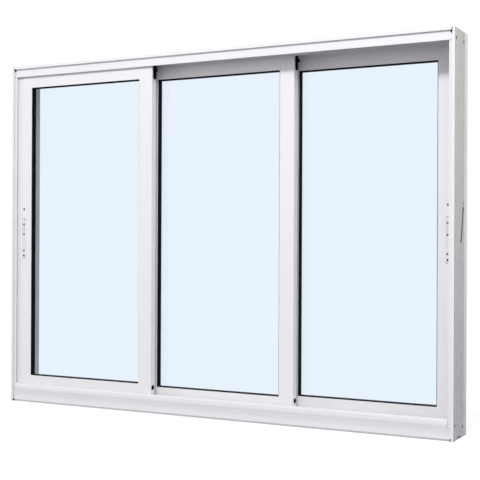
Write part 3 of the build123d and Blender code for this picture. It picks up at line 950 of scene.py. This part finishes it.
def stile_buffer(sash):
    """A buffer at the head of a meeting stile: a pad with a round foot and a domed nub on it."""
    low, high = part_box(f"{sash}_sash_buffer")
    thickness = 0.002
    middle = (low.y + high.y) / 2.0
    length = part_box(f"{sash}_sash_right_stile")[1].z - low.z
    pad = round_footed_pad((low.x, middle, low.z), (high.y - low.y) / 2.0, length, thickness)
    rise = high.x - low.x - thickness
    dome = 0.4 * rise
    radius = 0.0065
    root, neck = 1.12 * radius, 1.06 * radius
    nub_below_head = 0.0115
    turn = np.linspace(0.0, 0.47 * np.pi, 12)
    reach = np.concatenate([[-0.5 * thickness, 0.0], rise - dome + dome * np.sin(turn)])
    ring = np.concatenate([[root, neck], radius * (0.5 + 0.5 * np.cos(turn))])
    nub_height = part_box("head")[0].z - nub_below_head
    return [pad, turned_about_x((low.x + thickness, middle, nub_height), reach, ring)]


def turned_about_x(centre, reach, ring):
    """Turns a profile, its reach along +X and the radius of its ring there, about a line along X."""
    spoke = spokes_round(40)
    points = np.stack([centre[0] + reach[:, None] + 0.0 * spoke,
                       centre[1] + ring[:, None] * np.cos(spoke),
                       centre[2] + ring[:, None] * np.sin(spoke)], axis=-1)
    return turned_form(points)


def round_footed_pad(foot, half_width, length, thickness):
    """A pad on a face at the foot's X: its outline is half a circle below and two small corners above.

    The outline is drawn in softly as it comes up to the thickness.
    """
    corner = 0.0015
    shoulder = half_width - corner
    arcs = (np.linspace(np.pi, 2.0 * np.pi, 33),
            np.linspace(0.0, 0.5 * np.pi, 7),
            np.linspace(0.5 * np.pi, np.pi, 7))
    counts = [len(arc) for arc in arcs]
    centres = [(0.0, half_width), (shoulder, length - corner), (-shoulder, length - corner)]
    turn = np.concatenate(arcs)
    middle = np.repeat(centres, counts, axis=0)
    radius = np.repeat([half_width, corner, corner], counts)
    draw = np.array([0.0, 0.0, 0.0003, 0.001])[:, None]
    rise = thickness * np.array([0.0, 0.55, 0.85, 1.0])[:, None]
    points = np.stack([foot[0] + rise + 0.0 * turn,
                       foot[1] + middle[:, 0] + (radius - draw) * np.cos(turn),
                       foot[2] + middle[:, 1] + (radius - draw) * np.sin(turn)], axis=-1)
    return turned_form(points)


class WINDOW_OT_pile(Operator):
    """Line the jambs' fins with pile strips"""
    bl_idname = "window.pile"
    bl_label = "Pile strips"

    def execute(self, context):
        settings = context.scene.sliding_window.trim
        material = woven_pile(settings)
        for side, way in SIDES:
            form = joined(jamb_strips(settings, way))
            new_piece(f"{side}_jamb_pile", form, "frame", material)
        return {"FINISHED"}


def jamb_strips(settings, way):
    """Strips on both faces of each fin between two lanes, beside the jamb's web."""
    fin_half = 0.0008
    flange = 0.0185
    from_web = 0.45 * flange
    above_sill = 0.004
    into_head = 0.0265
    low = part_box("sill")[1].z + above_sill
    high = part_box("head")[0].z + into_head
    x = way * (FRAME_EDGE - from_web)
    strips = []
    for near, far in zip(SASHES, SASHES[1:]):
        fin = (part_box(f"{near}_sash_top_rail")[1].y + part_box(f"{far}_sash_top_rail")[0].y) / 2.0
        for face in (-1.0, 1.0):
            strips.append(pile_strip(x, fin + face * fin_half, face, low, high,
                                     settings.pile_width, settings.pile_height))
    return strips


class WINDOW_OT_running_gear(Operator):
    """Finish rollers and carriages"""
    bl_idname = "window.running_gear"
    bl_label = "Rollers"

    def execute(self, context):
        settings = context.scene.sliding_window.trim
        nylon = moulded_plastic("roller_nylon", settings.nylon, ROLLER_MOULDING)
        zinc = plated_steel("zinc_plate", settings.steel, roughness=(0.28, 0.45))
        dress([f"{sash}_sash_wheels" for sash in SASHES], nylon)
        dress([f"{sash}_sash_carriages" for sash in SASHES], zinc)
        return {"FINISHED"}


class WINDOW_OT_latches(Operator):
    """Finish the latches, ridge their thumb pieces, drive their screws and set the strike inserts"""
    bl_idname = "window.latches"
    bl_label = "Latches"

    def execute(self, context):
        settings = context.scene.sliding_window.trim
        plastic = moulded_plastic("latch_plastic", settings.latch, GLOSSY_MOULDING)
        black = plated_steel("black_zinc", settings.screw, roughness=(0.35, 0.5))
        # A shaded copy of the latch plastic, painted shade on the thumb piece.
        shaded_thumb = moulded_plastic("shaded_thumb_plastic", settings.shaded_thumb, GLOSSY_MOULDING)
        shade_plastic = moulded_plastic("shade_stop_plastic", settings.shade_stops, DULL_MOULDING)
        dark = moulded_plastic("keeper_plastic", settings.keeper, DULL_MOULDING)
        dress([f"{side}_latch" for side, _ in SIDES], plastic)
        for side, way in SIDES:
            body = f"{side}_sash"
            screws = joined(latch_screws(settings, side))
            new_piece(f"{side}_latch_screws", screws, body, black)
            new_piece(f"{side}_latch_grip", thumb_grip(settings, side), body, shaded_thumb)
            # Painted shade at the latch's slot ends, keyhole and plate ends.
            new_piece(f"{side}_latch_shade_stops", joined(latch_shade_stops(side)), body, shade_plastic)
            new_piece(f"{side}_strike_insert", joined(strike_insert(way)), "frame", dark)
        return {"FINISHED"}


def latch_face(side):
    """Middle, lower and upper end of a latch's plate, and the faces of the plate and of the stile."""
    plate_rise = 0.001
    low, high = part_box(f"{side}_latch")
    stile_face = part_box(f"{side}_sash_{side}_stile")[0].y
    return (low.x + high.x) / 2.0, low.z, high.z, stile_face - plate_rise, stile_face


def latch_screws(settings, side):
    """One screw in the plate's lower end and one in the stile over the plate, with low round heads."""
    above_foot = 0.0095
    over_plate = 0.0355
    head_rise = 0.0009
    skirt_depth = 0.0012
    middle, low, high, plate_face, stile_face = latch_face(side)
    right = (1.0, 0.0, 0.0)
    up = (0.0, 0.0, 1.0)
    radius = settings.screw_diameter / 2.0
    return [cross_screw((middle, face - head_rise, height), right, up, radius, skirt_depth)
            for face, height in ((plate_face, low + above_foot), (stile_face, high + over_plate))]


def latch_shade_stops(side):
    """Painted shade as dark pieces: stops at both ends of the thumb piece's slot and a liner in the
    keyhole, where those openings lie in shade, and beads at the plate's ends for the shadow lines round
    them.

    Each stop and the liner has its height and its half height.
    """
    half_width = 0.0048
    proud = 0.0003
    sunk = 0.0004
    softness = 0.0003
    middle, low, high, plate_face, stile_face = latch_face(side)
    pads = []
    # Painted shade: dark stops in the slot's ends and a liner in the keyhole.
    for height, half_height in ((high - 0.019, 0.0022), (high - 0.055, 0.0022), (low + 0.0275, 0.0018)):
        pads.append(soft_block((middle - half_width, plate_face - proud, height - half_height),
                               (middle + half_width, plate_face + sunk, height + half_height), softness))
    end_radius = (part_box(f"{side}_latch")[1].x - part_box(f"{side}_latch")[0].x) / 2.0
    # Painted shade: dark beads for the shadow lines round the plate's ends.
    pads.append(end_shade_bead((middle, stile_face, high - end_radius), end_radius, 1.0))
    pads.append(end_shade_bead((middle, stile_face, low + end_radius), end_radius, -1.0))
    return pads


def end_shade_bead(centre, radius, way):
    """A round bead carried along half a circle about a plate's end, above or below its centre: painted
    shade, the shadow line round the plate's end.
    """
    bead = 0.0009
    clear = 0.0003
    turn = np.linspace(0.12 * np.pi, 0.88 * np.pi, 25)[:, None]
    spoke = spokes_round(12)
    reach = radius + clear + bead * np.cos(spoke)
    points = np.stack([centre[0] + reach * np.cos(turn),
                       centre[1] + bead * np.sin(spoke) + 0.0 * turn,
                       centre[2] + way * reach * np.sin(turn)], axis=-1)
    return turned_form(points)


def thumb_grip(settings, side):
    """The ridged face of a latch's thumb piece, sunk into it by a hair."""
    sunk = 0.00002
    below_top = 0.037
    half_width, half_length = 0.0039, 0.0142
    low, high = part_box(f"{side}_latch")
    centre = ((low.x + high.x) / 2.0, low.y + sunk, high.z - below_top)
    return ridged_grip(centre, half_width, half_length, settings.grip_ridges, settings.grip_depth)


def strike_insert(way):
    """A dished insert in a jamb's leaning strike slot, with a pivot pin at its head and a screw over it."""
    sunk = 0.0005
    below_middle = 0.0012
    half_length, half_width = 0.0495, 0.0019
    thickness, dish = 0.001, 0.0006
    pin_radius, screw_radius = 0.0038, 0.0019
    middle, along, pivot, screw = strike_places()
    web = np.array((way * (FRAME_EDGE - sunk), 0.0, 0.0))
    across = np.cross((way, 0.0, 0.0), along)
    centre = middle + web - along * below_middle
    return [oblong_pad(centre, along, across, half_length, half_width, thickness, dish),
            cross_screw(pivot + web, across, -along, pin_radius, thickness),
            cross_screw(screw + web, across, -along, screw_radius, thickness)]


class WINDOW_OT_stage(Operator):
    """Set the floor, the light and the camera"""
    bl_idname = "window.stage"
    bl_label = "Stage"

    def execute(self, context):
        settings = context.scene.sliding_window.stage
        lay_floor(settings)
        light_studio(settings)
        set_camera(settings)
        context.scene.view_settings.view_transform = "Standard"
        return {"FINISHED"}


def lay_floor(settings):
    """A pale square floor, a hair below the sill."""
    half = settings.floor_size / 2.0
    gap = 0.0004
    drop = CAD_BOX[0][2] - gap
    corners = [(-half, -half, drop), (half, -half, drop), (half, half, drop), (-half, half, drop)]
    mesh = bpy.data.meshes.new("floor")
    mesh.from_pydata(corners, [], [(0, 1, 2, 3)])
    mesh.materials.append(floor_finish(settings))
    floor = add_object("floor", mesh)


def floor_finish(settings):
    """A floor that reads white to the camera, keeps the shadow, and shows white in glass and gloss.

    Its underside is clear, so that the window shows from below too.
    """
    fade_start = 0.4 * settings.shadow_reach
    material = bpy.data.materials.new("studio_floor")
    material.use_nodes = True
    tree = material.node_tree
    tree.nodes.remove(tree.nodes["Principled BSDF"])
    path = tree.nodes.new("ShaderNodeLightPath").outputs
    position = tree.nodes.new("ShaderNodeTexCoord").outputs["Object"]
    distance = vector_node(tree, "LENGTH", {0: position})["Value"]
    far = ramp(tree, distance, (fade_start, settings.shadow_reach))
    diffuse = place(tree, "ShaderNodeBsdfDiffuse", {"Color": settings.floor})
    glow = place(tree, "ShaderNodeEmission", {"Strength": settings.floor_glow})
    white = place(tree, "ShaderNodeEmission", {"Strength": 1.0})
    lit = place(tree, "ShaderNodeAddShader", {0: diffuse.outputs[0], 1: glow.outputs[0]})
    faded = mix_shader(tree, far, lit, white)
    direct = mix_shader(tree, path["Is Camera Ray"], diffuse, faded)
    mirrored = math_node(tree, "MAXIMUM", path["Is Glossy Ray"], path["Is Transmission Ray"])
    shown = mix_shader(tree, mirrored, direct, white)
    behind = tree.nodes.new("ShaderNodeNewGeometry").outputs["Backfacing"]
    one_sided = mix_shader(tree, behind, shown, tree.nodes.new("ShaderNodeBsdfTransparent"))
    feed(tree, tree.nodes["Material Output"], {"Surface": one_sided.outputs[0]})
    return material


def light_studio(settings):
    """Soft light from the room, a key lamp overhead, a fill lamp to the right and a low one to the left."""
    bpy.context.scene.world = studio_world(settings)
    middle = (Vector(CAD_BOX[0]) + Vector(CAD_BOX[1])) / 2.0
    fill_aim = Vector(settings.fill_aim)
    hang_lamp("key", settings.key_power, settings.key_size, Vector(settings.key_place), middle)
    hang_lamp("fill", settings.fill_power, settings.fill_size, Vector(settings.fill_place), fill_aim)
    hang_lamp("low_fill", settings.low_power, settings.fill_size, Vector(settings.low_place), middle)


def studio_world(settings):
    """A world that looks white, also in mirrors, and lights with its walls, ceiling and backdrop."""
    ceiling_rise = (0.1, 0.8)
    backdrop_turn = (-0.1, 0.5)
    solid_white = (1.0, 1.0, 1.0, 1.0)
    world = bpy.data.worlds.new("studio")
    world.use_nodes = True
    tree = world.node_tree
    _, backwards, upwards = split(tree, tree.nodes.new("ShaderNodeTexCoord").outputs["Generated"])
    front = mix_colour(tree, ramp(tree, upwards, ceiling_rise), settings.room, settings.ceiling)
    ambient = mix_colour(tree, ramp(tree, backwards, backdrop_turn), front, settings.backdrop)
    path = tree.nodes.new("ShaderNodeLightPath").outputs
    mirrored = math_node(tree, "MAXIMUM", path["Is Glossy Ray"], path["Is Transmission Ray"])
    seen = math_node(tree, "MAXIMUM", path["Is Camera Ray"], mirrored)
    colour = mix_colour(tree, seen, ambient, solid_white)
    feed(tree, tree.nodes["Background"], {"Color": colour, "Strength": 1.0})
    return world


def hang_lamp(name, power, size, spot, aim):
    """A square lamp that points at its aim.

    The glass already lets it through for shadows, so rays that bend through glass don't count it again.
    """
    lamp = bpy.data.lights.new(name, "AREA")
    lamp.energy = power
    lamp.size = size
    hung = add_object(name, lamp)
    hung.visible_transmission = False
    hung.location = spot
    hung.rotation_euler = (spot - aim).to_track_quat("Z", "Y").to_euler()


def set_camera(settings):
    """A camera turned by its yaw, pitch and roll about the place where it stands."""
    yaw = settings.camera_yaw
    pitch = settings.camera_pitch
    roll = settings.camera_roll
    back = Vector((math.sin(yaw) * math.cos(pitch), -math.cos(yaw) * math.cos(pitch), math.sin(pitch)))
    level = Vector((0.0, 0.0, 1.0)).cross(back).normalized()
    rise = back.cross(level)
    right = level * math.cos(roll) + rise * math.sin(roll)
    up = rise * math.cos(roll) - level * math.sin(roll)
    data = bpy.data.cameras.new("camera")
    data.lens = settings.lens
    camera = add_object("camera", data)
    turn = Matrix((right, up, back)).transposed().to_4x4()
    camera.matrix_world = Matrix.Translation(Vector(settings.camera_place)) @ turn
    bpy.context.scene.camera = camera


class WINDOW_PT_tools(Panel):
    """Lists the steps that finish the window"""
    bl_label = "Sliding Window"
    bl_space_type = "VIEW_3D"
    bl_region_type = "UI"
    bl_category = "Window"

    def draw(self, context):
        for step in STEPS:
            self.layout.operator(step.bl_idname)


SETTINGS = (CoatSettings, GlassSettings, TrimSettings, StageSettings, WindowSettings)
STEPS = (WINDOW_OT_coat, WINDOW_OT_glaze, WINDOW_OT_rubber, WINDOW_OT_pile, WINDOW_OT_running_gear,
         WINDOW_OT_latches, WINDOW_OT_stage)


def register():
    for kind in (*SETTINGS, *STEPS, WINDOW_PT_tools):
        bpy.utils.register_class(kind)
    bpy.types.Scene.sliding_window = PointerProperty(type=WindowSettings)


def unregister():
    del bpy.types.Scene.sliding_window
    for kind in reversed((*SETTINGS, *STEPS, WINDOW_PT_tools)):
        bpy.utils.unregister_class(kind)


def main():
    register()
    make_groups()
    bpy.ops.window.coat()
    bpy.ops.window.glaze()
    bpy.ops.window.rubber()
    bpy.ops.window.pile()
    bpy.ops.window.running_gear()
    bpy.ops.window.latches()
    bpy.ops.window.stage()


if __name__ == "__main__":
    main()
